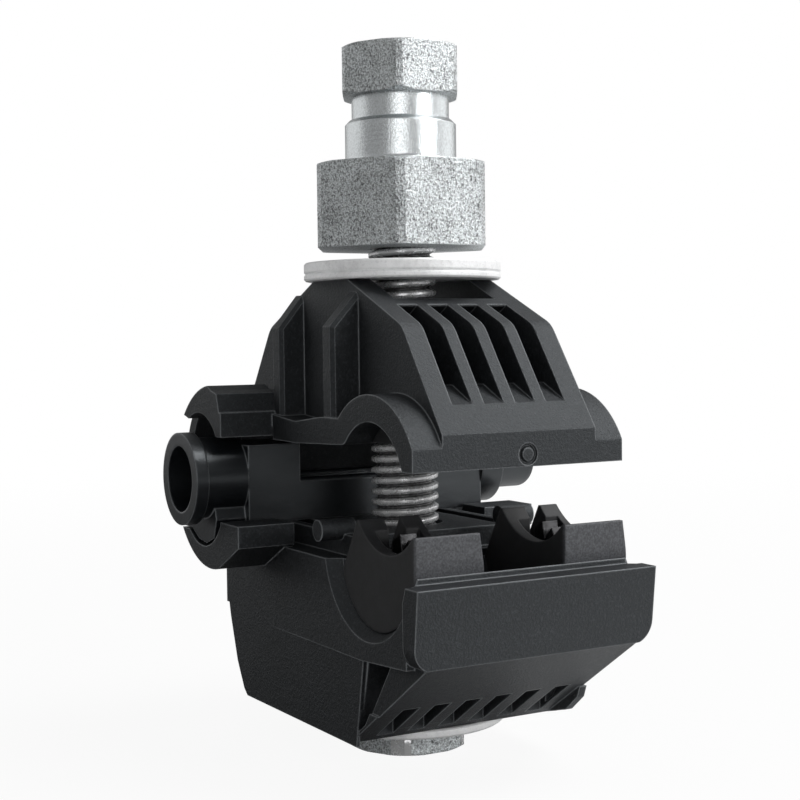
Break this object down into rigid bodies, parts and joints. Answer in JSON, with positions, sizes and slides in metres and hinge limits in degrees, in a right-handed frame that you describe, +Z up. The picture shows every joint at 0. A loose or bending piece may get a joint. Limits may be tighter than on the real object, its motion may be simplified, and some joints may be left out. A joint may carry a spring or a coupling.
{
  "type": "insulation piercing connector",
  "caption": "Insulation piercing connector: ribbed jaws with toothed contact blades clamp a main conductor and a tap conductor, drawn together by a bolt with a shear nut.",
  "frame": {"origin": "on the main conductor's axis, half way along the connector, at the middle of the open jaw gap", "axes": "X along both conductors, +Y from the main conductor towards the tap conductor, +Z up the bolt towards the shear nut"},
  "size_m": [0.0485, 0.0523, 0.081],
  "materials": {
    "body": "fine moulded grain, glass-filled",
    "sleeve": "smooth and slightly glossy",
    "seal": "matte, dark grey",
    "bolt": "galvanised, bright thread",
    "nut": "zinc plated, tumbled",
    "washer": "hot-dip galvanised",
    "blade": "tinned, bright"
  },
  "bodies": {
    "lower_jaw": {"lower_body": "body", "bolt": "bolt", "head_washer": "washer", "lower_main_seal_left": "seal", "lower_main_seal_right": "seal", "lower_blade_left": "blade", "lower_blade_right": "blade", "tap_sleeve": "sleeve", "end_cap": "sleeve"},
    "upper_jaw": {"upper_body": "body", "upper_main_seal_left": "seal", "upper_main_seal_right": "seal", "upper_blade_left": "blade", "upper_blade_right": "blade", "under_washer": "washer", "load_washer": "washer"},
    "nut": {"shear_nut": "nut"}
  },
  "joints": [
    {"name": "jaw_travel", "type": "slide", "parent": "lower_jaw", "child": "upper_jaw", "axis": [0, 0, -1], "range_m": [0, 0.006], "deforming": ["tap_sleeve", "end_cap"]},
    {"name": "nut_turn", "type": "hinge", "parent": "upper_jaw", "child": "nut", "pos_m": [0, 0.016, 0.027], "axis": [0, 0, 1], "range_deg": [-1728, 0]}
  ],
  "couplings": [
    {"joint": "nut_turn", "follows": "jaw_travel", "rad_per_m": -5026.5}
  ]
}
